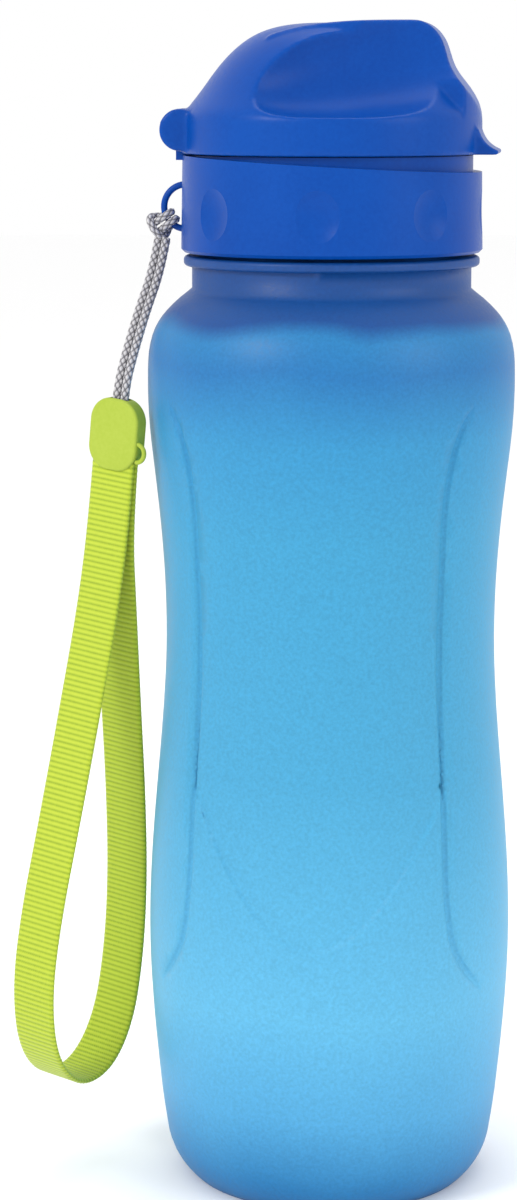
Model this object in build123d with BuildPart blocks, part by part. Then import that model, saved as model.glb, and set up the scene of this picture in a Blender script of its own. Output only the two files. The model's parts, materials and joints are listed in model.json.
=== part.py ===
from build123d import *
import math
import os

os.makedirs("parts", exist_ok=True)

# A soft sports bottle: a squeezable hourglass body, a screw cap with a flip lid over a soft spout,
# and a wrist strap on a cord that is hitched to a ring on the cap.
# Millimetres. +Z is up and the origin is the centre of the base. The lid's lip points to +X,
# its hinge and the strap are at -X.

# Bottle body: radii and heights of its outline
wall = 1.2
base_wall = 1.6
foot_radius = 27.5
foot_width = 2.0
push_up = 3.0
heel_radius = 31.1
heel_height = 3.6
calf_radius = 34.1
calf_height = 16.6
bulge_radius = 36.5
bulge_height = 50.6
hip_radius = 34.6
hip_height = 83.9
waist_radius = 32.9
waist_height = 109.0
chest_radius = 34.6
chest_height = 140.8
shoulder_radius = 36.3
shoulder_height = 160.7
body_height = 179.6
side_bands = 14
shoulder_bands = 4

# Neck: plain below the bead, then the threaded finish
finish_radius = 25.9
neck_step = 1.6
neck_height = 5.3
bead_reach = 3.2
bead_height = 2.0
finish_height = 15.4
finish_wall = 1.4

# Room between the neck's finish and the collar, which their screw threads would fill
thread_room = 1.7

# Grip grooves beside the flattened front and back panels
groove_radius = 0.9
groove_depth = 0.6
groove_angle = 45.0
groove_low = 43.0
groove_low_bend = 60.0
groove_low_flare = 17.0
groove_high = 160.0
groove_high_bend = 146.0
groove_high_flare = 10.0
panel_low_height = 55.0
panel_mid_height = 80.0
panel_mid_depth = 0.75
panel_top_height = 141.0
panel_shift = 3.2
panel_lead = 0.15

# Cap collar
collar_flare = 0.3
collar_bevel = 0.6
collar_wall = 1.7
collar_gap = 0.7
seal_thickness = 1.2
seal_overhang = 0.4
seat_gap = 0.05
deck_thickness = 1.8
rim_height = 1.0
rim_wall = 2.9
rim_slope = 3.2
skirt_height = 3.0
skirt_gap = 0.5
catch_inset = 1.3
catch_wall = 1.4
catch_height = 1.4
catch_setback = 11.3
dimple_count = 8
dimple_depth = 0.85
dimple_sphere = 12.5
dimple_height = 8.0

# Lanyard ring on the collar
ring_radius = 4.35
ring_wire = 0.65
ring_sink = 0.4
ring_drop = 10.4

# Hinge
hinge_inset = 0.7
hinge_rise = 4.7
knuckle_radius = 4.1
knuckle_half = 4.7
knuckle_end = 11.0
knuckle_gap = 0.35
pin_radius = 1.05
pin_clearance = 0.05
pin_blind = 1.0

# Lid: the dome's and the nose's points are given as an inset from the rim and a height above it
lid_gap = 0.2
lid_wall = 1.6
lid_height = 25.2
band_height = 6.4
dome_points = [(2.0, 10.0), (7.4, 17.1), (14.3, 22.9)]
fin_height = 25.6
fin_half_width = 12.5
fin_foot = 2.0
fin_inset = 0.05
fin_back = 11.5
fin_back_height = 22.5
fin_crest = (2.0, 25.2)
nose_inset = 12.8
nose_points = [(7.8, 22.4), (5.9, 17.2), (1.1, 10.2)]
lip_length = 3.7
lip_half_width = 8.0
lip_edge = 0.8
lip_height = 5.0
scoop_radius = 16.0
scoop_length = 57.8
scoop_ahead = 10.7
scoop_aside = 7.6
scoop_rise = 30.1
scoop_yaw = 5.3
scoop_tilt = 17.9

# Spout, its valve and the pad that closes it
spout_x = 6.0
spout_hole = 8.0
spout_play = 0.05
flange_reach = 1.8
flange_thickness = 1.4
spout_lip = 0.9
spout_lip_thickness = 1.2
spout_shoulder = 0.6
spout_tip = 5.4
spout_round = 2.0
spout_height = 20.0
spout_sleeve = 2.4
valve_ledge = 0.9
spout_mouth = 2.2
spout_tip_wall = 2.0
valve_thickness = 0.9
valve_slit = 0.3
valve_slit_length = 7.0
retainer_wall = 1.3
pad_radius = 4.4
pad_thickness = 2.0
pad_gap = 0.15
pad_nub = 1.4
pad_stem = 1.8
pad_stem_height = 2.2
pad_round = 0.4
nub_height = 0.8
boss_radius = 4.6
boss_sink = 1.2

# Strap: a doubled cord, a clasp of two shells and a loop of flat webbing
cord_diameter = 1.8
cord_spacing = 1.9
knot_radius = 1.95
sleeve_radius = 2.2
sleeve_gap = 0.2
sleeve_arc = 26.0
hitch_angle = 215.0
knot_place = (-4.5, -0.4, -5.8)
strap_out = 12.7
strap_forward = 12.0
strap_drop = 50.9
strap_yaw = -26.4
strap_roll = 6.0
clasp_width = 11.4
clasp_height = 14.2
clasp_thickness = 3.4
clasp_wall = 0.6
clasp_round = 4.6
clasp_slot = 4.6
crimp_width = 6.0
crimp_low = 5.0
crimp_high = 11.0
crimp_gap = 0.02
eyelet_radius = 1.8
eyelet_wire = 0.45
eyelet_height = 4.2
eyelet_sink = 0.2
webbing_width = 10.0
webbing_thickness = 1.0

# Sizes and heights that follow from the ones above
neck_radius = finish_radius + neck_step
bead_radius = finish_radius + bead_reach
collar_bore = finish_radius + thread_room
collar_radius = collar_bore + collar_wall
lid_radius = collar_radius
bead_low = body_height + neck_height
finish_low = bead_low + bead_height
neck_top = finish_low + finish_height
collar_low = finish_low + collar_gap
deck_low = neck_top + seal_thickness + 2 * seat_gap
deck_top = deck_low + deck_thickness
rim_top = deck_top + rim_height
lid_low = rim_top + lid_gap
hinge_x = hinge_inset - collar_radius
hinge_z = lid_low + hinge_rise
ring_x = -(collar_radius - ring_sink)
ring_z = lid_low - ring_drop
spout_bore = spout_hole - spout_sleeve
spout_throat = spout_bore - valve_ledge


# Bottle body
def outline_edges(inset):
    """The body's side from the heel to the neck, drawn in by inset."""
    low = base_wall if inset else 0.0
    foot = foot_radius - inset
    side = Spline(
        (foot + 0.4, low),
        (heel_radius - inset, heel_height + low * 0.5),
        (calf_radius - inset, calf_height),
        (bulge_radius - inset, bulge_height),
        (hip_radius - inset, hip_height),
        (waist_radius - inset, waist_height),
        (chest_radius - inset, chest_height),
        (shoulder_radius - inset, shoulder_height),
        tangents=[(1, 0.3), (0, 1)],
        tangent_scalars=[1, 1],
    )
    drop = body_height - shoulder_height
    shoulder = Spline(
        (shoulder_radius - inset, shoulder_height),
        (shoulder_radius - inset - 1.48, shoulder_height + drop * 0.63),
        (neck_radius - inset + 1.06, body_height - inset * 0.6),
        tangents=[(0, 1), (-0.8, 0.6)],
        tangent_scalars=[1, 1],
    )
    return side, shoulder


def bands(edge, count):
    """An edge redrawn as short arcs, so that it turns into plain bands instead of one long face."""
    pieces = []
    for number in range(count):
        start, middle, end = [(number + share) / count for share in (0, 0.5, 1)]
        pieces.append(ThreePointArc(edge @ start, edge @ middle, edge @ end))
    return pieces


body_side = outline_edges(0)[0]


def body_radius(height):
    """Outer radius of the body at a height, found on its outline."""
    low, high = 0.0, 1.0
    for _ in range(30):
        middle = (low + high) / 2
        if (body_side @ middle).Y < height:
            low = middle
        else:
            high = middle
    return (body_side @ low).X


def body_form(inset):
    """The bottle as a solid, drawn in by inset: 0 is the outside, the wall is the inside."""
    low = base_wall if inset else 0.0
    top = neck_top + 1.0 if inset else neck_top
    finish = finish_radius - finish_wall if inset else finish_radius
    neck = neck_radius - inset
    inner_foot = foot_radius - foot_width - inset
    side, shoulder = outline_edges(inset)
    outline = bands(side, side_bands) + bands(shoulder, shoulder_bands)
    with BuildPart() as form:
        with BuildSketch(Plane.XZ):
            with BuildLine():
                add(outline)
                Polyline(
                    shoulder @ 1,
                    (neck, body_height + 0.9 - inset * 0.6),
                    (neck, bead_low + 0.5),
                    (finish, bead_low + 0.5),
                    (finish, top),
                    (0, top),
                    (0, low + push_up),
                )
                ThreePointArc((0, low + push_up), (inner_foot * 0.6, low + push_up * 0.7), (inner_foot, low))
                Line((inner_foot, low), side @ 0)
            make_face()
        revolve(axis=Axis.Z)
        # The panels are cut by an arc turned about an axis that is set back from the bottle's.
        # The arc starts and ends a little outside the wall, so that no sliver is left.
        for way in (1, -1):
            centre = Plane((0, way * panel_shift, 0), x_dir=(1, 0, 0), z_dir=(0, -1, 0))
            far = bulge_radius + 20
            low_radius = body_radius(panel_low_height) + panel_lead + panel_shift - inset
            mid_radius = body_radius(panel_mid_height) - panel_mid_depth + panel_shift - inset
            top_radius = body_radius(panel_top_height) + panel_lead + panel_shift - inset
            with BuildSketch(centre):
                with BuildLine():
                    face = ThreePointArc(
                        (low_radius, panel_low_height),
                        (mid_radius, panel_mid_height),
                        (top_radius, panel_top_height),
                    )
                    Polyline(face @ 1, (far, panel_top_height), (far, panel_low_height), face @ 0)
                make_face()
            revolve(axis=Axis((0, way * panel_shift, 0), (0, 0, 1)), mode=Mode.SUBTRACT)
    return form.part


def groove_path(side, front):
    """Points of one grip groove, from the bulge to the shoulder; it runs out at both ends."""
    heights = [groove_low, groove_low + 5, groove_low_bend - 6, groove_low_bend]
    heights += [hip_height, waist_height, (waist_height + groove_high_bend) / 2]
    heights += [groove_high_bend, groove_high - 7, groove_high]
    points = []
    for height in heights:
        below = max(0.0, (groove_low_bend - height) / (groove_low_bend - groove_low))
        above = max(0.0, (height - groove_high_bend) / (groove_high - groove_high_bend))
        angle = groove_angle + groove_low_flare * below**2 + groove_high_flare * above**2
        lift = groove_radius - groove_depth
        if height in (groove_low, groove_high):
            lift = groove_radius + 0.1
        radius = body_radius(height) + lift
        turn = math.radians(angle)
        points.append((side * radius * math.sin(turn), front * radius * math.cos(turn), height))
    return points


body_outside = body_form(0)
body_inside = body_form(wall)

with BuildPart() as bottle_body:
    add(body_outside)
    # The bead that the collar stops above.
    with BuildSketch(Plane.XZ) as bead:
        with Locations((finish_radius - finish_wall / 2, bead_low)):
            Rectangle(
                bead_radius - finish_radius + finish_wall / 2, bead_height, align=(Align.MIN, Align.MIN)
            )
        fillet(bead.vertices().group_by(Axis.X)[-1], bead_height * 0.4)
    revolve(axis=Axis.Z)
    add(body_inside, mode=Mode.SUBTRACT)
    for side in (1, -1):
        for front in (1, -1):
            points = groove_path(side, front)
            with BuildLine() as groove:
                Spline(*points)
            with BuildSketch(Plane(origin=groove.line @ 0, z_dir=groove.line % 0)):
                Circle(groove_radius)
            sweep(path=groove.line, mode=Mode.SUBTRACT)
bottle_body.part.label = "bottle_body"
export_step(bottle_body.part, "parts/bottle_body.step")

with BuildPart() as neck_seal:
    with BuildSketch(Plane.XY.offset(neck_top + seat_gap)):
        Circle(finish_radius + seal_overhang)
        Circle(finish_radius - finish_wall - seal_overhang, mode=Mode.SUBTRACT)
    extrude(amount=seal_thickness)
    fillet(neck_seal.edges(), seal_thickness * 0.2)
neck_seal.part.label = "neck_seal"
export_step(neck_seal.part, "parts/neck_seal.step")


# Screw cap
slope = math.atan(rim_slope / (2 * collar_radius))
slope_plane = Plane(
    (-collar_radius, 0, rim_top),
    x_dir=(math.cos(slope), 0, -math.sin(slope)),
    z_dir=(math.sin(slope), 0, math.cos(slope)),
)
catch_radius = collar_bore - catch_inset

with BuildPart() as cap_collar:
    # The outer wall, whose top slopes down towards the front.
    with BuildSketch(Plane.XZ):
        with BuildLine():
            Polyline(
                (collar_bore, collar_low),
                (collar_radius + collar_flare - collar_bevel, collar_low),
                (collar_radius + collar_flare, collar_low + collar_bevel),
                (collar_radius, rim_top),
                (collar_bore, rim_top),
                close=True,
            )
        make_face()
    revolve(axis=Axis.Z)
    split(bisect_by=slope_plane, keep=Keep.BOTTOM)
    # The deck, the rim that stands inside the wall, and the skirt above the thread.
    with BuildSketch(Plane.XZ):
        with BuildLine():
            Polyline(
                (0, deck_low),
                (finish_radius + skirt_gap, deck_low),
                (finish_radius + skirt_gap, deck_low - skirt_height),
                (collar_bore + 0.1, deck_low - skirt_height - 0.6),
                (collar_bore + 0.1, rim_top - rim_slope - 0.4),
                (collar_bore, rim_top - rim_slope - 0.3),
                (collar_bore, rim_top),
                (collar_bore - rim_wall, rim_top),
                (collar_bore - rim_wall, deck_top),
                (0, deck_top),
                close=True,
            )
        make_face()
    revolve(axis=Axis.Z)
    # The low rim inside the lid, left out near the hinge so that the lid can swing.
    with BuildSketch(Plane.XY.offset(rim_top)):
        Circle(catch_radius)
        Circle(catch_radius - catch_wall, mode=Mode.SUBTRACT)
        with Locations((-collar_radius, 0)):
            Rectangle(2 * catch_setback, 3 * collar_radius, mode=Mode.SUBTRACT)
    extrude(amount=catch_height)
    # Hinge lug with its bore.
    with BuildSketch(Plane.XZ):
        with Locations((hinge_x, hinge_z)):
            Circle(knuckle_radius)
        with Locations((hinge_x + 0.9, deck_top)):
            Rectangle(5.0, hinge_z - deck_top, align=(Align.CENTER, Align.MIN))
        with Locations((hinge_x, hinge_z)):
            Circle(pin_radius + pin_clearance, mode=Mode.SUBTRACT)
    extrude(amount=knuckle_half, both=True)
    # Lanyard ring: half a torus that stands out of the wall.
    with BuildSketch(Plane((ring_x, 0, ring_z + ring_radius), x_dir=(0, 0, 1), z_dir=(-1, 0, 0))):
        Circle(ring_wire)
    revolve(axis=Axis((ring_x, 0, ring_z), (0, -1, 0)), revolution_arc=180)
    # Shallow round dimples for grip, all round but where the ring is.
    dimple_reach = collar_radius - dimple_depth + dimple_sphere
    dimple_step = 360 / dimple_count
    dimple_turn = 360 - 2 * dimple_step
    with Locations(Plane.XY.offset(collar_low + dimple_height)):
        with PolarLocations(dimple_reach, dimple_count - 1, dimple_step - 180, dimple_turn, endpoint=True):
            Sphere(dimple_sphere, mode=Mode.SUBTRACT)
    # Hole for the spout.
    with Locations((spout_x, 0, deck_low - 1)):
        Cylinder(
            spout_hole, deck_thickness + 2, align=(Align.CENTER, Align.CENTER, Align.MIN), mode=Mode.SUBTRACT
        )
cap_collar.part.label = "cap_collar"
export_step(cap_collar.part, "parts/cap_collar.step")

with BuildPart() as hinge_pin:
    with BuildSketch(Plane.XZ.offset(-knuckle_end + 0.3)):
        with Locations((hinge_x, hinge_z)):
            Circle(pin_radius)
    extrude(amount=2 * knuckle_end - pin_blind - 0.6)
    chamfer(hinge_pin.edges(), 0.2)
hinge_pin.part.label = "hinge_pin"
export_step(hinge_pin.part, "parts/hinge_pin.step")


# Flip lid
def fin_form(inset):
    """The fin that carries the dome's height forward, kept within the rim's circle."""
    edge = lid_radius - inset - fin_inset
    foot = lid_low + fin_foot
    back = inset - fin_back
    with BuildPart() as fin:
        with BuildSketch(Plane.XZ):
            with BuildLine():
                behind = Polyline((0, foot), (back, foot), (back, lid_low + fin_back_height - inset))
                crest = Spline(
                    behind @ 1,
                    (fin_crest[0], lid_low + fin_crest[1] - inset),
                    (lid_radius - nose_inset - inset, lid_low + fin_height - inset),
                    tangents=[(1, 0.4), (1, 0)],
                    tangent_scalars=[1, 1],
                )
                nose = Spline(
                    crest @ 1,
                    (lid_radius - nose_points[0][0] - inset, lid_low + nose_points[0][1] - inset * 0.6),
                    (lid_radius - nose_points[1][0] - inset, lid_low + nose_points[1][1]),
                    (lid_radius - nose_points[2][0] - inset, lid_low + nose_points[2][1]),
                    (edge, lid_low + band_height),
                    tangents=[(1, 0), (0, -1)],
                    tangent_scalars=[1, 1],
                )
                Polyline(nose @ 1, (edge, foot), (0, foot))
            make_face()
        extrude(amount=fin_half_width - inset, both=True)
        with BuildSketch(Plane.XY.offset(lid_low)):
            Circle(edge)
        extrude(amount=fin_height * 1.2, mode=Mode.INTERSECT)
    return fin.part


def lid_form(inset):
    """The lid's outside as a solid, drawn in by inset for the hollow."""
    shrink = (lid_radius - inset) / lid_radius
    low = lid_low - 1.0 if inset else lid_low
    fin = fin_form(inset)
    with BuildPart() as form:
        # The dome over the whole rim.
        with BuildSketch(Plane.XZ):
            with BuildLine():
                side = Line((lid_radius * shrink, low), (lid_radius * shrink, lid_low + band_height * shrink))
                dome = Spline(
                    side @ 1,
                    *[((lid_radius - x) * shrink, lid_low + z * shrink) for x, z in dome_points],
                    (0, lid_low + lid_height * shrink),
                    tangents=[(0, 1), (-1, 0)],
                    tangent_scalars=[1, 1],
                )
                Polyline(dome @ 1, (0, low), side @ 0)
            make_face()
        revolve(axis=Axis.Z)
        add(fin)
        # Finger scoops: a long spheroid on each side, closing in on the nose.
        for way in (1, -1):
            yaw = math.radians(scoop_yaw)
            tilt = math.radians(scoop_tilt)
            flat = math.cos(tilt)
            along = Vector(math.cos(yaw) * flat, way * math.sin(yaw) * flat, math.sin(tilt))
            centre = Vector(lid_radius + scoop_ahead, way * (scoop_aside - lid_radius), lid_low + scoop_rise)
            across = Vector(0, 0, 1).cross(along).normalized()
            with BuildSketch(Plane(centre, x_dir=along, z_dir=across)):
                Ellipse(scoop_length + inset, scoop_radius + inset)
                Rectangle(
                    4 * scoop_length, 4 * scoop_radius, align=(Align.CENTER, Align.MAX), mode=Mode.SUBTRACT
                )
            revolve(axis=Axis(centre, along), mode=Mode.SUBTRACT)
    return form.part


lid_outside = lid_form(0)
lid_inside = lid_form(lid_wall)
spout_top = deck_top + spout_height
pad_low = spout_top + pad_gap

with BuildPart() as flip_lid:
    add(lid_outside)
    # Thumb lip.
    with BuildSketch(Plane.XZ):
        with BuildLine():
            root = lid_radius - 2 * lid_wall
            under = Line((root, lid_low), (lid_radius + lip_length - 0.3, lid_low))
            tip = Line(under @ 1, (lid_radius + lip_length, lid_low + lip_edge))
            sweep_up = ThreePointArc(
                tip @ 1,
                (lid_radius + lip_length * 0.3, lid_low + lip_height * 0.46),
                (lid_radius - 0.3, lid_low + lip_height),
            )
            Polyline(sweep_up @ 1, (root, lid_low + lip_height), under @ 0)
        make_face()
    extrude(amount=lip_half_width, both=True)
    add(lid_inside, mode=Mode.SUBTRACT)
    # Post that holds the pad over the spout.
    with BuildSketch(Plane.XY.offset(pad_low + pad_thickness)):
        with Locations((spout_x, 0)):
            Circle(boss_radius)
            Circle(pad_stem, mode=Mode.SUBTRACT)
    extrude(amount=lid_low + fin_height - boss_sink - pad_low - pad_thickness)
    # Hinge knuckles outside the collar's lug.
    with BuildSketch(Plane.XZ):
        with Locations((hinge_x, hinge_z)):
            Circle(knuckle_radius)
    extrude(amount=knuckle_end, both=True)
    with BuildSketch(Plane.XZ):
        with Locations((hinge_x, hinge_z)):
            Circle(knuckle_radius + knuckle_gap)
            Rectangle(
                2 * (knuckle_radius + knuckle_gap), 2 * hinge_rise, align=(Align.CENTER, Align.MAX)
            )
    extrude(amount=knuckle_half + knuckle_gap, both=True, mode=Mode.SUBTRACT)
    with BuildSketch(Plane.XZ.offset(-knuckle_end)):
        with Locations((hinge_x, hinge_z)):
            Circle(pin_radius)
    extrude(amount=2 * knuckle_end - pin_blind, mode=Mode.SUBTRACT)
flip_lid.part.label = "flip_lid"
export_step(flip_lid.part, "parts/flip_lid.step")

with BuildPart() as lid_pad:
    with BuildSketch(Plane.XY.offset(pad_low)):
        with Locations((spout_x, 0)):
            Circle(pad_radius)
    extrude(amount=pad_thickness)
    fillet(lid_pad.edges(), pad_round)
    with Locations((spout_x, 0, pad_low + pad_thickness)):
        Cylinder(pad_stem, pad_stem_height, align=(Align.CENTER, Align.CENTER, Align.MIN))
    with Locations((spout_x, 0, pad_low)):
        Cone(pad_nub * 0.6, pad_nub, nub_height, align=(Align.CENTER, Align.CENTER, Align.MAX))
lid_pad.part.label = "lid_pad"
export_step(lid_pad.part, "parts/lid_pad.step")


# Spout with its slit valve and the retainer that holds it
spout_plane = Plane((spout_x, 0, 0), x_dir=(1, 0, 0), z_dir=(0, -1, 0))
spout_axis = Axis((spout_x, 0, 0), (0, 0, 1))
spout_low = deck_low - spout_play - spout_lip_thickness
valve_top = deck_low + valve_thickness
flange_edge = spout_hole + flange_reach
flange_top = deck_top + spout_play + flange_thickness

with BuildPart() as spout:
    with BuildSketch(spout_plane):
        with BuildLine():
            Polyline(
                (spout_bore, spout_low),
                (spout_hole + spout_lip, spout_low),
                (spout_hole + spout_lip, deck_low - spout_play),
                (spout_hole - spout_play, deck_low - spout_play),
                (spout_hole - spout_play, deck_top + spout_play),
                (flange_edge, deck_top + spout_play),
                (flange_edge, flange_top),
                (spout_hole - spout_shoulder, flange_top),
            )
            nozzle = Spline(
                (spout_hole - spout_shoulder, flange_top),
                (spout_tip + spout_shoulder, flange_top + spout_height * 0.45),
                (spout_tip, spout_top - spout_round),
                tangents=[(-0.5, 1), (0, 1)],
                tangent_scalars=[1, 1],
            )
            rim = ThreePointArc(
                nozzle @ 1,
                (spout_tip - spout_round * 0.3, spout_top - spout_round * 0.28),
                (spout_tip - spout_round, spout_top),
            )
            Polyline(
                rim @ 1,
                (spout_mouth, spout_top),
                (spout_mouth, spout_top - spout_tip_wall),
                (spout_tip - 1.5, spout_top - spout_tip_wall - 1.0),
                (spout_throat, flange_top),
                (spout_throat, valve_top),
                (spout_bore, valve_top),
                (spout_bore, spout_low),
            )
        make_face()
    revolve(axis=spout_axis)
spout.part.label = "spout"
export_step(spout.part, "parts/spout.step")

with BuildPart() as spout_valve:
    with BuildSketch(Plane.XY.offset(deck_low)):
        with Locations((spout_x, 0)):
            Circle(spout_bore)
            Rectangle(valve_slit_length, valve_slit, mode=Mode.SUBTRACT)
            Rectangle(valve_slit, valve_slit_length, mode=Mode.SUBTRACT)
    extrude(amount=valve_thickness)
spout_valve.part.label = "spout_valve"
export_step(spout_valve.part, "parts/spout_valve.step")

with BuildPart() as valve_retainer:
    with BuildSketch(Plane.XY.offset(spout_low)):
        with Locations((spout_x, 0)):
            Circle(spout_bore)
            Circle(spout_bore - retainer_wall, mode=Mode.SUBTRACT)
    extrude(amount=deck_low - spout_low)
valve_retainer.part.label = "valve_retainer"
export_step(valve_retainer.part, "parts/valve_retainer.step")


# Strap. Its own frame: face is out of the flat of the webbing, up runs along the strap, across is
# its width.
yaw = math.radians(strap_yaw)
roll = math.radians(strap_roll)
face = Vector(math.sin(yaw), -math.cos(yaw), 0)
level = Vector(math.cos(yaw), math.sin(yaw), 0)
up = Vector(0, 0, math.cos(roll)) + level * math.sin(roll)
across = level * math.cos(roll) - Vector(0, 0, math.sin(roll))
clasp_origin = Vector(ring_x - strap_out, -strap_forward, ring_z - strap_drop)
side_plane = Plane(clasp_origin, x_dir=face, z_dir=face.cross(up))
face_plane = Plane(clasp_origin, x_dir=across, z_dir=face)


def corner_radii(points):
    """The largest tangent arc that each corner of a cord's route takes."""
    radii = []
    for before, here, after in zip(points, points[1:], points[2:]):
        first = Vector(*here) - Vector(*before)
        second = Vector(*after) - Vector(*here)
        half_turn = math.radians(first.get_angle(second)) / 2
        radii.append(0.45 * min(first.length, second.length) / math.tan(half_turn))
    return radii


# Hitch: a sleeve that wraps the ring's wire, and the knot below it
hitch_start = math.radians(hitch_angle - sleeve_arc / 2)
radial = Vector(math.cos(hitch_start), 0, math.sin(hitch_start))
ring_centre = Vector(ring_x, 0, ring_z)
sleeve_plane = Plane(
    ring_centre + radial * ring_radius, x_dir=radial, z_dir=radial.cross(Vector(0, 1, 0))
)

with BuildPart() as cord_knot:
    with BuildSketch(sleeve_plane):
        Circle(sleeve_radius)
        Circle(ring_wire + sleeve_gap, mode=Mode.SUBTRACT)
    revolve(axis=Axis(ring_centre, (0, -1, 0)), revolution_arc=sleeve_arc)
    with Locations(ring_centre + Vector(*knot_place)):
        Sphere(knot_radius)
cord_knot.part.label = "cord_knot"
export_step(cord_knot.part, "parts/cord_knot.step")

# The two legs of the cord, side by side from the knot to the clasp, measured from the ring's centre
leg_route = [
    (-5.5, -0.2, -6.2),
    (-6.4, -2.4, -12.6),
    (-8.6, -6.0, -19.8),
    (-10.5, -9.6, -27.6),
    (-12.0, -12.35, -34.6),
    (-12.66, -12.02, -41.5),
]
for number, name in enumerate(("cord_leg_left", "cord_leg_right")):
    start = ring_centre + level * cord_spacing * number
    route = [start + Vector(*point) for point in leg_route]
    radii = corner_radii([tuple(point) for point in route])
    print(name, "corner radii", [round(radius, 1) for radius in radii])
    with BuildPart() as cord_leg:
        with BuildLine() as leg_path:
            FilletPolyline(*route, radius=radii)
        with BuildSketch(Plane(origin=leg_path.line @ 0, z_dir=leg_path.line % 0)):
            Circle(cord_diameter / 2)
        sweep(path=leg_path.line)
    cord_leg.part.label = name
    export_step(cord_leg.part, f"parts/{name}.step")
    print(name, "length", round(leg_path.wire().length, 1), "volume", round(cord_leg.part.volume, 1))

# Clasp: a front and a back shell round the ends of the webbing and the cord
half_clasp = clasp_thickness / 2


def clasp_shell(way):
    """One half of the clasp; way is 1 for the front and -1 for the back."""
    with BuildPart() as shell:
        with BuildSketch(face_plane) as outline:
            Rectangle(clasp_width, clasp_height, align=(Align.CENTER, Align.MIN))
            fillet(outline.vertices().group_by(Axis.Z)[-1], clasp_round)
        extrude(amount=way * half_clasp)
        outer_face = shell.faces().filter_by(face_plane).sort_by(Axis(clasp_origin, face * way))[-1]
        fillet(outer_face.edges(), clasp_wall * 0.9)
        with BuildSketch(face_plane):
            Rectangle(clasp_width - 2 * clasp_wall, crimp_high, align=(Align.CENTER, Align.MIN))
            Rectangle(clasp_slot, 2 * clasp_height, align=(Align.CENTER, Align.MIN))
        extrude(amount=way * (half_clasp - clasp_wall), mode=Mode.SUBTRACT)
    return shell.part


clasp_halves = [clasp_shell(way) for way in (1, -1)]

with BuildPart() as clasp_front:
    add(clasp_halves[0])
    # Small eyelet at the side.
    eyelet_centre = clasp_origin + across * (clasp_width / 2 - eyelet_sink) + up * eyelet_height
    eyelet_centre += face * half_clasp / 2
    with BuildSketch(Plane(eyelet_centre + up * eyelet_radius, x_dir=face, z_dir=across)):
        Circle(eyelet_wire)
    revolve(axis=Axis(eyelet_centre, face * -1), revolution_arc=180)
clasp_front.part.label = "clasp_front"
export_step(clasp_front.part, "parts/clasp_front.step")

with BuildPart() as clasp_back:
    add(clasp_halves[1])
clasp_back.part.label = "clasp_back"
export_step(clasp_back.part, "parts/clasp_back.step")

with BuildPart() as clasp_crimp:
    with BuildSketch(face_plane):
        with Locations((0, crimp_low)):
            Rectangle(crimp_width, crimp_high - crimp_low, align=(Align.CENTER, Align.MIN))
    extrude(amount=half_clasp - clasp_wall - crimp_gap, both=True)
clasp_crimp.part.label = "clasp_crimp"
export_step(clasp_crimp.part, "parts/clasp_crimp.step")

# Webbing: its route in the plane of the strap's face and length, from the clasp round and back
webbing_route = [
    (0.57, 5.0),
    (0.57, -11.0),
    (2.0, -28.0),
    (5.4, -48.0),
    (9.2, -69.0),
    (13.4, -90.0),
    (14.4, -106.0),
    (10.6, -120.0),
    (1.6, -128.0),
    (-8.6, -127.4),
    (-15.2, -119.0),
    (-17.0, -105.0),
    (-16.2, -88.0),
    (-12.8, -68.0),
    (-8.4, -48.0),
    (-4.2, -28.0),
    (-0.57, -11.0),
    (-0.57, 5.0),
]
with BuildPart() as webbing:
    radii = corner_radii(webbing_route)
    print("webbing corner radii", [round(radius, 1) for radius in radii])
    with BuildLine(side_plane) as webbing_path:
        FilletPolyline(*webbing_route, radius=radii)
    with BuildSketch(Plane(origin=webbing_path.line @ 0, x_dir=across, z_dir=webbing_path.line % 0)):
        Rectangle(webbing_width, webbing_thickness)
    sweep(path=webbing_path.line)
    print("webbing length", round(webbing_path.wire().length, 1), "volume", round(webbing.part.volume, 1))
webbing.part.label = "webbing"
export_step(webbing.part, "parts/webbing.step")
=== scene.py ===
import json
import math

import bmesh
import bpy
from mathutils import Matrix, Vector


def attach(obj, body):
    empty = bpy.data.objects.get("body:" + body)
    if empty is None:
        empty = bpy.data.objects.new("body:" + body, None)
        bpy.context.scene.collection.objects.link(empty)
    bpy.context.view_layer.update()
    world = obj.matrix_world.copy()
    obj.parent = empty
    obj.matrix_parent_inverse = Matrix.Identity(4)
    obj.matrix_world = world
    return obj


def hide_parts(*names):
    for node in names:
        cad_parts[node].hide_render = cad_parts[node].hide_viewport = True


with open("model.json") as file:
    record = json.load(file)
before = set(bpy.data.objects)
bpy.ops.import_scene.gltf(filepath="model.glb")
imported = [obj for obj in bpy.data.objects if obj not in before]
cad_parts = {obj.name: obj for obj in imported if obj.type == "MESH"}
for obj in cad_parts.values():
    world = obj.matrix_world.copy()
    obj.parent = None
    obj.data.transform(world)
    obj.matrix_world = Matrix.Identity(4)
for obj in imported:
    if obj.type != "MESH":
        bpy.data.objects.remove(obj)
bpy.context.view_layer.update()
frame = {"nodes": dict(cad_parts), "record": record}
scene = bpy.context.scene
record = frame["record"]
print("frame loaded:", len(frame["nodes"]), "nodes")

# Metres, in the frame of the CAD model: +Z up, -Y is the front, the strap hangs at -X.
millimetre = 0.001
weldDistance = 0.001 * millimetre


def jointPlace(name):
    for joint in record["behaviour"]["joints"]:
        if joint["name"] == name:
            return Vector(joint["pos_m"])
    raise ValueError(name)


ringCentre = jointPlace("strap_swing")

cameraSettings = {
    "place": (0.0552, -0.5974, 0.2194),
    "aim": (-0.0143, -0.0017, 0.118),
    "lens": 90.96,
    "sensor": 36.0,
}


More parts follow.
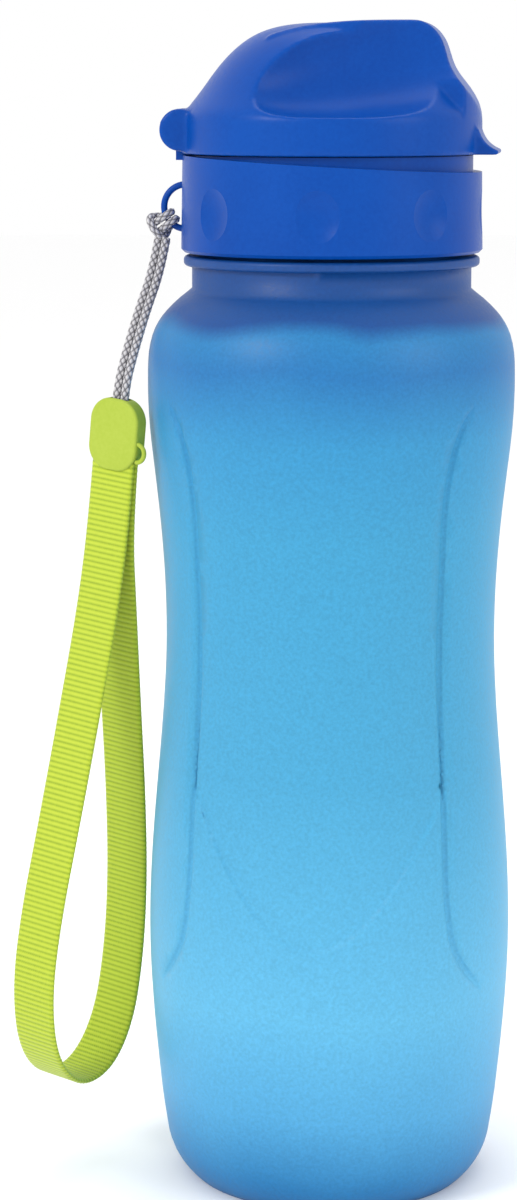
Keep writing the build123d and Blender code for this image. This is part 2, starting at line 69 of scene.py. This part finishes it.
def makeCamera(settings):
    data = bpy.data.cameras.new("mainCamera")
    data.sensor_fit = "VERTICAL"
    data.sensor_height = settings["sensor"]
    data.lens = settings["lens"]
    camera = bpy.data.objects.new("mainCamera", data)
    scene.collection.objects.link(camera)
    place = Vector(settings["place"])
    camera.location = place
    camera.rotation_euler = (Vector(settings["aim"]) - place).to_track_quat("-Z", "Y").to_euler()
    scene.camera = camera


studioSettings = {
    "worldColor": (1.0, 1.0, 1.0),
    "worldStrength": 1.0,
    "floorColor": (0.985, 0.985, 0.985),
    "floorRadius": 4.0,
    "floorSides": 96,
    "floorRoughness": 0.9,
    "floorSpecular": 0.1,
    "lamps": [
        # name, place, aim, size, watts
        ("softLeft", (-0.75, -0.75, 0.75), (0.0, 0.0, 0.12), 0.35, 5.5),
        ("softRight", (0.85, -0.45, 0.55), (0.0, 0.0, 0.12), 0.6, 2.4),
        ("softTop", (0.05, 0.25, 1.0), (0.0, 0.0, 0.15), 0.6, 1.6),
    ],
}


def makeStudio(settings):
    world = bpy.data.worlds.new("studioWorld")
    world.use_nodes = True
    background = world.node_tree.nodes["Background"]
    background.inputs["Color"].default_value = (*settings["worldColor"], 1.0)
    background.inputs["Strength"].default_value = settings["worldStrength"]
    scene.world = world
    for name, place, aim, size, watts in settings["lamps"]:
        data = bpy.data.lights.new(name, "AREA")
        data.shape = "DISK"
        data.size = size
        data.energy = watts
        lamp = bpy.data.objects.new(name, data)
        scene.collection.objects.link(lamp)
        lamp.location = place
        lamp.rotation_euler = (Vector(aim) - Vector(place)).to_track_quat("-Z", "Y").to_euler()
    bm = bmesh.new()
    bmesh.ops.create_circle(
        bm, cap_ends=True, segments=settings["floorSides"], radius=settings["floorRadius"]
    )
    floor = meshObject("studioFloor", bm)
    material, nodes, links, shader = newMaterial("floorPaper")
    shader.inputs["Base Color"].default_value = (*settings["floorColor"], 1.0)
    shader.inputs["Roughness"].default_value = settings["floorRoughness"]
    shader.inputs["Specular IOR Level"].default_value = settings["floorSpecular"]
    floor.data.materials.append(material)
    scene.view_settings.view_transform = "Standard"


def meshObject(name, bm, smooth=False):
    mesh = bpy.data.meshes.new(name)
    bm.to_mesh(mesh)
    bm.free()
    if smooth:
        mesh.shade_smooth()
    made = bpy.data.objects.new(name, mesh)
    scene.collection.objects.link(made)
    return made


def linearColor(red, green, blue):
    # from the 0 to 255 numbers of a colour picker
    values = []
    for value in (red, green, blue):
        share = value / 255
        values.append(share / 12.92 if share <= 0.04045 else ((share + 0.055) / 1.055) ** 2.4)
    return (*values, 1.0)


def newMaterial(name):
    material = bpy.data.materials.new(name)
    material.use_nodes = True
    nodes = material.node_tree.nodes
    links = material.node_tree.links
    return material, nodes, links, nodes["Principled BSDF"]


def mathNode(nodes, links, operation, first, second=None, third=None):
    node = nodes.new("ShaderNodeMath")
    node.operation = operation
    for slot, value in enumerate((first, second, third)):
        if value is None:
            continue
        if isinstance(value, (int, float)):
            node.inputs[slot].default_value = value
        else:
            links.new(value, node.inputs[slot])
    return node.outputs[0]


def noiseNode(nodes, links, vector, scale, detail=2.0, roughness=0.5):
    node = nodes.new("ShaderNodeTexNoise")
    node.inputs["Scale"].default_value = scale
    node.inputs["Detail"].default_value = detail
    node.inputs["Roughness"].default_value = roughness
    links.new(vector, node.inputs["Vector"])
    return node.outputs["Fac"]


def spreadNode(nodes, links, value, low, high, toLow, toHigh):
    node = nodes.new("ShaderNodeMapRange")
    node.inputs["From Min"].default_value = low
    node.inputs["From Max"].default_value = high
    node.inputs["To Min"].default_value = toLow
    node.inputs["To Max"].default_value = toHigh
    links.new(value, node.inputs["Value"])
    return node.outputs["Result"]


def rampNode(nodes, links, value, stops):
    node = nodes.new("ShaderNodeValToRGB")
    ramp = node.color_ramp
    while len(ramp.elements) > 1:
        ramp.elements.remove(ramp.elements[-1])
    ramp.elements[0].position = stops[0][0]
    ramp.elements[0].color = stops[0][1]
    for place, color in stops[1:]:
        ramp.elements.new(place).color = color
    links.new(value, node.inputs["Fac"])
    return node.outputs["Color"]


def mixColors(nodes, links, share, first, second, blend="MIX"):
    node = nodes.new("ShaderNodeMix")
    node.data_type = "RGBA"
    node.blend_type = blend
    for socket, value in ((node.inputs[0], share), (node.inputs[6], first), (node.inputs[7], second)):
        if isinstance(value, (int, float, tuple)):
            socket.default_value = value
        else:
            links.new(value, socket)
    return node.outputs[2]


def bumpNode(nodes, links, shader, height, strength, distance):
    node = nodes.new("ShaderNodeBump")
    node.inputs["Strength"].default_value = strength
    node.inputs["Distance"].default_value = distance
    links.new(height, node.inputs["Height"])
    links.new(node.outputs["Normal"], shader.inputs["Normal"])


def objectPoint(nodes):
    return nodes.new("ShaderNodeTexCoord").outputs["Object"]


# the parts of a noise's range that the materials use
wideSpread = (0.3, 0.7)
narrowSpread = (0.35, 0.65)

bodySettings = {
    "height": 0.203,
    # share of the height, colour: painted light and shade, darker at the base and at the shoulder,
    # lighter on the lower bulge, and darkest on the neck as a painted shadow of the cap
    "bands": [
        (0.00, (8, 96, 158)),
        (0.045, (26, 120, 178)),
        (0.12, (76, 162, 210)),
        (0.22, (92, 178, 218)),
        (0.45, (66, 158, 200)),
        (0.68, (56, 152, 196)),
        (0.77, (46, 142, 192)),
        (0.84, (26, 112, 174)),
        (0.872, (30, 120, 178)),
        (0.886, (6, 72, 142)),
        (1.00, (4, 62, 132)),
    ],
    "grainScale": 1500.0,
    "cloudScale": 30.0,
    "cloudLift": 0.008,
    "grainColor": 0.10,
    "roughness": (0.40, 0.52),
    "ior": 1.5,
    "specular": 0.3,
    "transmission": 0.12,
    "subsurface": 0.08,
    "subsurfaceScale": 0.001,
    "subsurfaceRadius": (0.6, 0.9, 1.0),
    "bump": 0.25,
    "bumpDistance": 0.00012,
}


def frostedPlastic(settings):
    material, nodes, links, shader = newMaterial("frostedBlue")
    point = objectPoint(nodes)
    parts = nodes.new("ShaderNodeSeparateXYZ")
    links.new(point, parts.inputs[0])
    cloud = noiseNode(nodes, links, point, settings["cloudScale"], 2.0)
    lifted = mathNode(nodes, links, "MULTIPLY_ADD", cloud, settings["cloudLift"], parts.outputs["Z"])
    share = mathNode(nodes, links, "DIVIDE", lifted, settings["height"])
    # the height ramp paints light and shade: painted shade at the base and shoulder, a painted
    # highlight on the lower bulge, the cap's painted shadow on the neck
    bands = [(place, linearColor(*color)) for place, color in settings["bands"]]
    color = rampNode(nodes, links, share, bands)
    grain = noiseNode(nodes, links, point, settings["grainScale"], 3.0, 0.6)
    half = settings["grainColor"]
    shade = spreadNode(nodes, links, grain, *wideSpread, 1 - half, 1 + half)
    grey = nodes.new("ShaderNodeCombineColor")
    for slot in range(3):
        links.new(shade, grey.inputs[slot])
    color = mixColors(nodes, links, 1.0, color, grey.outputs[0], "MULTIPLY")
    links.new(color, shader.inputs["Base Color"])
    rough = spreadNode(nodes, links, grain, *wideSpread, *settings["roughness"])
    links.new(rough, shader.inputs["Roughness"])
    shader.inputs["IOR"].default_value = settings["ior"]
    shader.inputs["Specular IOR Level"].default_value = settings["specular"]
    shader.inputs["Transmission Weight"].default_value = settings["transmission"]
    shader.inputs["Subsurface Weight"].default_value = settings["subsurface"]
    shader.inputs["Subsurface Radius"].default_value = settings["subsurfaceRadius"]
    shader.inputs["Subsurface Scale"].default_value = settings["subsurfaceScale"]
    bumpNode(nodes, links, shader, grain, settings["bump"], settings["bumpDistance"])
    return material


mouldedSettings = {
    # colour, darker colour, roughness, noise scale
    "capBlue": ((0, 70, 158), (0, 62, 146), (0.30, 0.40), 1300.0),
    # the neck's blue is darkened with a painted shadow of the cap
    "paintedShadowNeckBlue": ((12, 64, 132), (12, 58, 124), (0.40, 0.52), 1500.0),
    "claspLime": ((166, 184, 70), (156, 176, 58), (0.34, 0.44), 1300.0),
    "softClear": ((214, 226, 232), (200, 214, 222), (0.45, 0.55), 900.0),
    "padGrey": ((196, 204, 210), (184, 192, 198), (0.50, 0.60), 900.0),
    "sealWhite": ((224, 226, 226), (212, 214, 214), (0.50, 0.60), 900.0),
}
mouldedSurface = {
    "cloudScale": 45.0,
    "fineShare": 0.45,
    "cloudShare": 0.55,
    "specular": 0.14,
    "bump": 0.10,
    "bumpDistance": 0.00008,
}


def mouldedPlastic(name, color, darker, roughness, scale):
    settings = mouldedSurface
    material, nodes, links, shader = newMaterial(name)
    point = objectPoint(nodes)
    fine = noiseNode(nodes, links, point, scale, 3.0, 0.6)
    cloud = noiseNode(nodes, links, point, settings["cloudScale"], 2.0)
    clouds = mathNode(nodes, links, "MULTIPLY", cloud, settings["cloudShare"])
    blend = mathNode(nodes, links, "MULTIPLY_ADD", fine, settings["fineShare"], clouds)
    share = spreadNode(nodes, links, blend, *narrowSpread, 0.0, 1.0)
    shade = mixColors(nodes, links, share, linearColor(*darker), linearColor(*color))
    links.new(shade, shader.inputs["Base Color"])
    links.new(spreadNode(nodes, links, fine, *wideSpread, *roughness), shader.inputs["Roughness"])
    shader.inputs["Specular IOR Level"].default_value = settings["specular"]
    bumpNode(nodes, links, shader, fine, settings["bump"], settings["bumpDistance"])
    return material


steelSettings = {
    "stretch": (1.0, 0.05, 1.0),
    "lineScale": 3000.0,
    "darker": (0.42, 0.42, 0.44, 1),
    "lighter": (0.60, 0.60, 0.62, 1),
    "roughness": (0.28, 0.42),
    "bump": 0.1,
    "bumpDistance": 0.00002,
}


def plainSteel(settings):
    material, nodes, links, shader = newMaterial("plainSteel")
    point = objectPoint(nodes)
    stretch = nodes.new("ShaderNodeMapping")
    stretch.inputs["Scale"].default_value = settings["stretch"]
    links.new(point, stretch.inputs["Vector"])
    lines = noiseNode(nodes, links, stretch.outputs["Vector"], settings["lineScale"], 3.0)
    share = spreadNode(nodes, links, lines, *narrowSpread, 0.0, 1.0)
    shade = mixColors(nodes, links, share, settings["darker"], settings["lighter"])
    links.new(shade, shader.inputs["Base Color"])
    shader.inputs["Metallic"].default_value = 1.0
    rough = spreadNode(nodes, links, lines, *wideSpread, *settings["roughness"])
    links.new(rough, shader.inputs["Roughness"])
    bumpNode(nodes, links, shader, lines, settings["bump"], settings["bumpDistance"])
    return material


def uvParts(nodes, links):
    point = nodes.new("ShaderNodeTexCoord")
    parts = nodes.new("ShaderNodeSeparateXYZ")
    links.new(point.outputs["UV"], parts.inputs[0])
    return point.outputs["UV"], parts.outputs["X"], parts.outputs["Y"]


braidSettings = {
    # the lightest shade is painted light on the strands' crowns and the darkest is painted shade in
    # the hollows between them; mid is the cord's own grey
    "paintedCrownLight": (196, 194, 196),
    "mid": (140, 138, 142),
    "paintedHollowShade": (58, 54, 60),
    "pitch": 0.0016,  # length that one strand takes to go half round
    "strands": 4,
    "fibreScale": (900.0, 14.0, 1.0),
    "fluffScale": 5.0,
    "fluffShare": 0.35,
    "stops": (0.10, 0.42, 0.85),
    "roughness": 0.75,
    "sheen": 0.3,
    "bump": 0.6,
    "bumpDistance": 0.0002,
}
sheenRoughness = 0.5


def braidedCord(settings):
    # UV: U counts metres along the cord, V turns round it.
    material, nodes, links, shader = newMaterial("greyBraid")
    uv, along, turn = uvParts(nodes, links)
    turns = mathNode(nodes, links, "MULTIPLY", turn, math.tau * settings["strands"])
    travel = mathNode(nodes, links, "MULTIPLY", along, math.tau / settings["pitch"])
    heights = []
    for operation in ("ADD", "SUBTRACT"):
        phase = mathNode(nodes, links, operation, travel, turns)
        wave = mathNode(nodes, links, "SINE", mathNode(nodes, links, "MULTIPLY", phase, 0.5))
        heights.append(mathNode(nodes, links, "ABSOLUTE", wave))
    lattice = mathNode(nodes, links, "MULTIPLY", heights[0], heights[1])
    fibre = nodes.new("ShaderNodeMapping")
    fibre.inputs["Scale"].default_value = settings["fibreScale"]
    links.new(uv, fibre.inputs["Vector"])
    fluff = noiseNode(nodes, links, fibre.outputs["Vector"], settings["fluffScale"], 3.0)
    height = mathNode(nodes, links, "MULTIPLY_ADD", fluff, settings["fluffShare"], lattice)
    # colour by height: painted shade in the hollows, painted light on the crowns
    shades = [linearColor(*settings[shade]) for shade in ("paintedHollowShade", "mid", "paintedCrownLight")]
    stops = list(zip(settings["stops"], shades))
    links.new(rampNode(nodes, links, height, stops), shader.inputs["Base Color"])
    shader.inputs["Roughness"].default_value = settings["roughness"]
    shader.inputs["Sheen Weight"].default_value = settings["sheen"]
    shader.inputs["Sheen Roughness"].default_value = sheenRoughness
    bumpNode(nodes, links, shader, height, settings["bump"], settings["bumpDistance"])
    return material


weaveSettings = {
    # the lightest lime is painted light on the rib tops and the darkest is painted shade in the
    # valleys between ribs; mid is the webbing's own lime
    "paintedCrownLight": (184, 200, 50),
    "mid": (164, 184, 34),
    "paintedHollowShade": (112, 138, 14),
    "ribPitch": 0.00105,
    "warpPitch": 0.00055,
    "fibreScale": (700.0, 2600.0, 1.0),
    "fluffShare": 0.30,
    "ribShare": 0.45,
    "yarnShare": 0.25,
    "stops": (0.15, 0.45, 0.80),
    "roughness": 0.8,
    "sheen": 0.25,
    "bump": 0.5,
    "bumpDistance": 0.00012,
}


def limeWebbing(settings):
    # UV: U counts metres along the webbing, V counts metres round its section.
    material, nodes, links, shader = newMaterial("limeWebbing")
    uv, along, turn = uvParts(nodes, links)
    ribPhase = mathNode(nodes, links, "MULTIPLY", along, math.tau / settings["ribPitch"])
    warpPhase = mathNode(nodes, links, "MULTIPLY", turn, math.tau / settings["warpPitch"])
    rib = mathNode(nodes, links, "MULTIPLY_ADD", mathNode(nodes, links, "SINE", ribPhase), 0.5, 0.5)
    # every second warp yarn is half a rib further on
    half = mathNode(nodes, links, "MULTIPLY", warpPhase, 0.5)
    stagger = mathNode(nodes, links, "ADD", ribPhase, half)
    yarn = mathNode(nodes, links, "ABSOLUTE", mathNode(nodes, links, "SINE", stagger))
    fibre = nodes.new("ShaderNodeMapping")
    fibre.inputs["Scale"].default_value = settings["fibreScale"]
    links.new(uv, fibre.inputs["Vector"])
    fluff = noiseNode(nodes, links, fibre.outputs["Vector"], 1.0, 3.0, 0.6)
    yarns = mathNode(nodes, links, "MULTIPLY", yarn, settings["yarnShare"])
    weave = mathNode(nodes, links, "MULTIPLY_ADD", rib, settings["ribShare"], yarns)
    height = mathNode(nodes, links, "MULTIPLY_ADD", fluff, settings["fluffShare"], weave)
    # colour by height: painted shade in the valleys, painted light on the rib tops
    shades = [linearColor(*settings[shade]) for shade in ("paintedHollowShade", "mid", "paintedCrownLight")]
    stops = list(zip(settings["stops"], shades))
    links.new(rampNode(nodes, links, height, stops), shader.inputs["Base Color"])
    shader.inputs["Roughness"].default_value = settings["roughness"]
    shader.inputs["Sheen Weight"].default_value = settings["sheen"]
    shader.inputs["Sheen Roughness"].default_value = sheenRoughness
    bumpNode(nodes, links, shader, height, settings["bump"], settings["bumpDistance"])
    return material


nodeFinish = {
    "cap_collar": "capBlue",
    "flip_lid": "capBlue",
    "valve_retainer": "capBlue",
    "clasp_front": "claspLime",
    "clasp_back": "claspLime",
    "spout": "softClear",
    "spout_valve": "softClear",
    "lid_pad": "padGrey",
    "neck_seal": "sealWhite",
}


def finishNode(name, material):
    node = frame["nodes"][name]
    node.data.materials.clear()
    node.data.materials.append(material)


lidSettings = {
    "voxel": 0.00042,
    "smoothing": 10,
    "factor": 0.5,
}


def makeSoftLid(settings, material):
    mesh = frame["nodes"]["flip_lid"].data.copy()
    bm = bmesh.new()
    bm.from_mesh(mesh)
    bmesh.ops.remove_doubles(bm, verts=bm.verts, dist=weldDistance)
    rough = meshObject("lidRough", bm)
    remesh = rough.modifiers.new("evenMesh", "REMESH")
    remesh.mode = "VOXEL"
    remesh.voxel_size = settings["voxel"]
    smooth = rough.modifiers.new("softEdges", "SMOOTH")
    smooth.factor = settings["factor"]
    smooth.iterations = settings["smoothing"]
    depsgraph = bpy.context.evaluated_depsgraph_get()
    finished = bpy.data.meshes.new_from_object(rough.evaluated_get(depsgraph))
    bpy.data.objects.remove(rough)
    finished.name = "softLid"
    finished.materials.clear()
    finished.materials.append(material)
    finished.shade_smooth()
    lid = bpy.data.objects.new("softLid", finished)
    scene.collection.objects.link(lid)
    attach(lid, "lid")
    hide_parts("flip_lid")
    return lid


strapSettings = {
    "yaw": math.radians(-26.4),
    "roll": math.radians(6.0),
    "claspOut": 0.0127,
    "claspForward": 0.012,
    "claspDrop": 0.0509,
}
level = Vector((math.cos(strapSettings["yaw"]), math.sin(strapSettings["yaw"]), 0))
faceWay = Vector((math.sin(strapSettings["yaw"]), -math.cos(strapSettings["yaw"]), 0))
upWay = Vector((0, 0, math.cos(strapSettings["roll"]))) + level * math.sin(strapSettings["roll"])
acrossWay = level * math.cos(strapSettings["roll"]) - Vector((0, 0, math.sin(strapSettings["roll"])))
claspOrigin = ringCentre - Vector(
    (strapSettings["claspOut"], strapSettings["claspForward"], strapSettings["claspDrop"])
)


def routeLine(name, points):
    curve = bpy.data.curves.new(name, "CURVE")
    curve.dimensions = "3D"
    spline = curve.splines.new("NURBS")
    spline.points.add(len(points) - 1)
    for place, point in zip(spline.points, points):
        place.co = (*point, 1.0)
    spline.order_u = 3
    spline.use_endpoint_u = True
    curve.resolution_u = 32
    holder = bpy.data.objects.new(name, curve)
    mesh = bpy.data.meshes.new_from_object(holder)
    line = [vertex.co.copy() for vertex in mesh.vertices]
    bpy.data.objects.remove(holder)
    bpy.data.meshes.remove(mesh)
    return line


def evenPoints(line, step):
    total = sum((b - a).length for a, b in zip(line, line[1:]))
    count = max(2, round(total / step))
    spaced = [line[0].copy()]
    wanted = total / count
    walked = 0.0
    for start, end in zip(line, line[1:]):
        length = (end - start).length
        while length > 0 and walked + length >= wanted * len(spaced) - 1e-12 and len(spaced) < count:
            share = (wanted * len(spaced) - walked) / length
            spaced.append(start.lerp(end, share))
        walked += length
    spaced.append(line[-1].copy())
    return spaced, total


def travelFrames(points, side=None):
    # tangent, side and normal at each point; side stays as given, or is carried along without twist
    frames = []
    for number, point in enumerate(points):
        before = points[max(0, number - 1)]
        after = points[min(len(points) - 1, number + 1)]
        tangent = (after - before).normalized()
        if side is not None:
            across = side
        elif not frames:
            guess = Vector((0, 0, 1)) if abs(tangent.z) < 0.9 else Vector((1, 0, 0))
            across = guess.cross(tangent).normalized()
        else:
            across = frames[-1][1] - tangent * frames[-1][1].dot(tangent)
            across.normalize()
        frames.append((tangent, across, tangent.cross(across).normalized()))
    return frames


def sweptSkin(name, points, sides, section, side=None):
    # a grid that is wrapped round the line: section(travelled, share) gives the offset across and out,
    # and the V of the UV map
    frames = travelFrames(points, side)
    steps = len(points) - 1
    spacing = (points[1] - points[0]).length
    bm = bmesh.new()
    uvLayer = bm.loops.layers.uv.new("UVMap")
    bmesh.ops.create_grid(bm, x_segments=steps, y_segments=sides, size=0.5, calc_uvs=True)
    places = {}
    for face in bm.faces:
        for loop in face.loops:
            share = loop.vert.co.y + 0.5
            travelled = round((loop.vert.co.x + 0.5) * steps) * spacing
            loop[uvLayer].uv = (travelled, section(travelled, share)[2])
    for vertex in bm.verts:
        number = round((vertex.co.x + 0.5) * steps)
        share = vertex.co.y + 0.5
        across, out, _ = section(number * spacing, share)
        places[vertex] = points[number] + frames[number][1] * across + frames[number][2] * out
    for vertex, place in places.items():
        vertex.co = place
    bmesh.ops.remove_doubles(bm, verts=bm.verts, dist=weldDistance)
    openEdges = [edge for edge in bm.edges if edge.is_boundary]
    bmesh.ops.holes_fill(bm, edges=openEdges, sides=0)
    bmesh.ops.recalc_face_normals(bm, faces=bm.faces)
    return meshObject(name, bm, smooth=True)


panelSettings = {
    # the rounded lower end of the flat panel on the front and on the back, in metres
    "low": 0.0545,
    "spread": 0.020,
    "spreadRise": 0.019,
    "edge": 0.0013,
    "depth": 0.0008,
    "fade": (0.070, 0.112),
    "region": (0.050, 0.114),
    "longest": 0.0011,
    "passes": 9,
    # a face is on the outside if it turns this much outwards
    "outward": 0.3,
    "sharpAngle": math.radians(35),
}


def smoothShare(value, low, high):
    share = min(1.0, max(0.0, (value - low) / (high - low)))
    return share * share * (3 - 2 * share)


def panelFaces(bm, settings):
    low, high = settings["region"]
    found = []
    for face in bm.faces:
        middle = face.calc_center_median()
        outward = Vector((middle.x, middle.y, 0)).normalized()
        inRegion = low < middle.z < high and abs(middle.y) > abs(middle.x)
        if inRegion and face.normal.dot(outward) > settings["outward"]:
            found.append(face)
    return found


def makePanelledBody(settings, material):
    # the CAD body with the crisp lower edge of its panels pressed in
    bm = bmesh.new()
    bm.from_mesh(frame["nodes"]["bottle_body"].data)
    bmesh.ops.remove_doubles(bm, verts=bm.verts, dist=weldDistance)
    for _ in range(settings["passes"]):
        # kept in the mesh's order, so that each run gives the same mesh
        edges = dict.fromkeys(edge for face in panelFaces(bm, settings) for edge in face.edges)
        longEdges = [edge for edge in edges if edge.calc_length() > settings["longest"]]
        if not longEdges:
            break
        bmesh.ops.subdivide_edges(bm, edges=longEdges, cuts=1)
        bmesh.ops.triangulate(bm, faces=[face for face in bm.faces if len(face.verts) > 3])
    verts = {vertex for face in panelFaces(bm, settings) for vertex in face.verts}
    for vertex in verts:
        across = vertex.co.x / settings["spread"]
        rise = vertex.co.z - settings["low"] - settings["spreadRise"] * across**2
        slope = 2 * settings["spreadRise"] * across / settings["spread"]
        inside = smoothShare(rise / math.hypot(1, slope), 0.0, settings["edge"])
        depth = settings["depth"] * inside * (1 - smoothShare(vertex.co.z, *settings["fade"]))
        vertex.co.y -= math.copysign(depth, vertex.co.y)
    body = meshObject("panelledBody", bm, smooth=True)
    body.data.set_sharp_from_angle(angle=settings["sharpAngle"])
    body.data.materials.append(material)
    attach(body, "bottle")
    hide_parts("bottle_body")
    return body


threadSettings = {
    "pitch": 5.0 * millimetre,
    "turns": 1.25,
    "halfWidth": 0.85 * millimetre,
    "depth": 1.2 * millimetre,
    "sink": 0.3 * millimetre,
    "runOut": 7.0 * millimetre,
    "leastFade": 0.02,
    "steps": 300,
    "sides": 20,
    # piece it rides, finish slot, wall's radius, lowest height, way it stands out of the wall
    "neck": ("bottle", "body", 0.0259, 0.1919, 1),
    "cap": ("cap", "cap", 0.0276, 0.1894, -1),
}


def makeThread(name, settings, place, material):
    rider, slotName, radius, low, way = settings[place]
    steps = settings["steps"]
    points = []
    for number in range(steps + 1):
        turns = settings["turns"] * number / steps
        angle = math.tau * turns
        height = low + settings["pitch"] * turns
        points.append(Vector((radius * math.cos(angle), radius * math.sin(angle), height)))
    length = sum((b - a).length for a, b in zip(points, points[1:]))

    def section(travelled, share):
        fade = min(1.0, travelled / settings["runOut"], (length - travelled) / settings["runOut"])
        angle = math.tau * share
        rise = math.sin(angle)
        reach = settings["depth"] * max(settings["leastFade"], fade) if rise > 0 else settings["sink"]
        return settings["halfWidth"] * math.cos(angle), way * reach * rise, share

    thread = sweptSkin(name, points, settings["sides"], section, side=Vector((0, 0, 1)))
    thread.data.materials.append(material)
    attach(thread, rider)
    return thread


cordSettings = {
    "radius": 0.9 * millimetre,
    "length": 38.5 * millimetre,
    "spacing": 1.9 * millimetre,
    "sides": 24,
    "step": 0.13 * millimetre,
    "relief": 0.13 * millimetre,
    # from the ring's centre, the left leg; the right one is beside it
    "route": [
        (-0.0055, -0.0002, -0.0062),
        (-0.0064, -0.0024, -0.0126),
        (-0.0086, -0.0060, -0.0198),
        (-0.0105, -0.0096, -0.0276),
        (-0.0120, -0.01235, -0.0346),
        (-0.01266, -0.01202, -0.0415),
    ],
}


def braidSection(radius, relief):
    pitch = braidSettings["pitch"]
    strands = braidSettings["strands"]

    def section(travelled, share):
        turns = math.tau * strands * share
        travel = math.tau * travelled / pitch
        lattice = abs(math.sin((travel + turns) / 2)) * abs(math.sin((travel - turns) / 2))
        reach = radius - relief + relief * lattice
        angle = math.tau * share
        return reach * math.cos(angle), reach * math.sin(angle), share

    return section


def makeCord(name, route, node, material):
    line, _ = evenPoints(routeLine(name, route), cordSettings["step"])
    section = braidSection(cordSettings["radius"], cordSettings["relief"])
    cord = sweptSkin(name, line, cordSettings["sides"], section)
    cord.data.materials.append(material)
    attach(cord, "strap")
    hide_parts(node)
    return cord


hitchSettings = {
    "radius": 0.80 * millimetre,
    "ringRadius": 4.35 * millimetre,
    "angle": math.radians(215),
    # along the ring's wire, out from the ring, towards the front; millimetres from the wire's centre
    "route": [
        (-0.95, 3.3, 0.0),
        (-0.90, 1.9, 0.75),
        (-0.82, 0.4, 1.45),
        (-0.82, -1.2, 1.00),
        (-0.82, -1.45, -0.60),
        (-0.95, -0.1, -1.55),
        (-1.60, 1.5, -1.40),
        (-2.45, 2.5, -0.30),
        (-1.90, 3.1, 1.10),
        (0.0, 3.3, 1.75),
    ],
}


def makeHitch(settings, material):
    # the cord's bight is taken over the ring's wire and its legs pass through it
    angle = settings["angle"]
    outWay = Vector((math.cos(angle), 0, math.sin(angle)))
    alongWay = Vector((-outWay.z, 0, outWay.x))
    frontWay = Vector((0, -1, 0))
    wire = ringCentre + outWay * settings["ringRadius"]
    half = settings["route"]
    whole = half + [(-along, out, front) for along, out, front in reversed(half[:-1])]
    points = []
    for along, out, front in whole:
        offset = alongWay * along + outWay * out + frontWay * front
        points.append(wire + offset * millimetre)
    line, _ = evenPoints(routeLine("cordHitch", points), cordSettings["step"])
    section = braidSection(settings["radius"], cordSettings["relief"])
    hitch = sweptSkin("cordHitch", line, cordSettings["sides"], section)
    hitch.data.materials.append(material)
    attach(hitch, "strap")
    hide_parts("cord_knot")
    return hitch


webbingSettings = {
    "width": 10.0 * millimetre,
    "length": 283.0 * millimetre,
    "thickness": 0.86 * millimetre,
    "rib": 0.07 * millimetre,
    "step": 0.21 * millimetre,
    "sides": 32,
    # out of the strap's face and along it, in metres from the clasp's origin
    "route": [
        (0.00057, 0.005),
        (0.00057, -0.011),
        (0.002, -0.028),
        (0.0054, -0.048),
        (0.0092, -0.069),
        (0.0134, -0.090),
        (0.0144, -0.106),
        (0.0106, -0.120),
        (0.0016, -0.128),
        (-0.0086, -0.1274),
        (-0.0152, -0.119),
        (-0.017, -0.105),
        (-0.0162, -0.088),
        (-0.0128, -0.068),
        (-0.0084, -0.048),
        (-0.0042, -0.028),
        (-0.00057, -0.011),
        (-0.00057, 0.005),
    ],
}


def bandSection(width, thickness, rib):
    # a flat band with round edges: the ribs stand on both flat sides
    flat = width - thickness
    bend = math.pi * thickness / 2
    around = 2 * (flat + bend)
    pitch = weaveSettings["ribPitch"]

    def section(travelled, share):
        place = share * around
        wave = rib * (0.5 + 0.5 * math.sin(math.tau * travelled / pitch))
        if place < flat:
            across, angle = flat / 2 - place, 0.0
        elif place < flat + bend:
            across, angle = -flat / 2, (place - flat) / (thickness / 2)
        elif place < 2 * flat + bend:
            across, angle = place - flat - bend - flat / 2, math.pi
        else:
            across, angle = flat / 2, math.pi + (place - 2 * flat - bend) / (thickness / 2)
        reach = thickness / 2 + wave
        return across - math.sin(angle) * reach, math.cos(angle) * reach, place

    return section


def makeWebbing(settings, material):
    route = [claspOrigin + faceWay * out + upWay * along for out, along in settings["route"]]
    line, length = evenPoints(routeLine("webbingLoop", route), settings["step"])
    section = bandSection(settings["width"], settings["thickness"], settings["rib"])
    webbing = sweptSkin("webbingLoop", line, settings["sides"], section, side=acrossWay)
    webbing.data.materials.append(material)
    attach(webbing, "strap")
    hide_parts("webbing")
    print("webbing length", round(length, 4))
    return webbing


makeCamera(cameraSettings)
makeStudio(studioSettings)
print("camera and studio made")

finishes = {name: mouldedPlastic(name, *values) for name, values in mouldedSettings.items()}
for nodeName, finishName in nodeFinish.items():
    finishNode(nodeName, finishes[finishName])
steel = plainSteel(steelSettings)
finishNode("hinge_pin", steel)
finishNode("clasp_crimp", steel)
makePanelledBody(panelSettings, frostedPlastic(bodySettings))
print("CAD parts finished")

makeSoftLid(lidSettings, finishes["capBlue"])
# the neck thread takes the blue that carries the cap's painted shadow
makeThread("neckThread", threadSettings, "neck", finishes["paintedShadowNeckBlue"])
makeThread("capThread", threadSettings, "cap", finishes["capBlue"])
print("lid and threads made")

braid = braidedCord(braidSettings)
hitch = makeHitch(hitchSettings, braid)
leftRoute = [ringCentre + Vector(point) for point in cordSettings["route"]]
rightRoute = [point + level * cordSettings["spacing"] for point in leftRoute]
makeCord("cordLegLeft", leftRoute, "cord_leg_left", braid)
makeCord("cordLegRight", rightRoute, "cord_leg_right", braid)
makeWebbing(webbingSettings, limeWebbing(weaveSettings))
print("strap made")
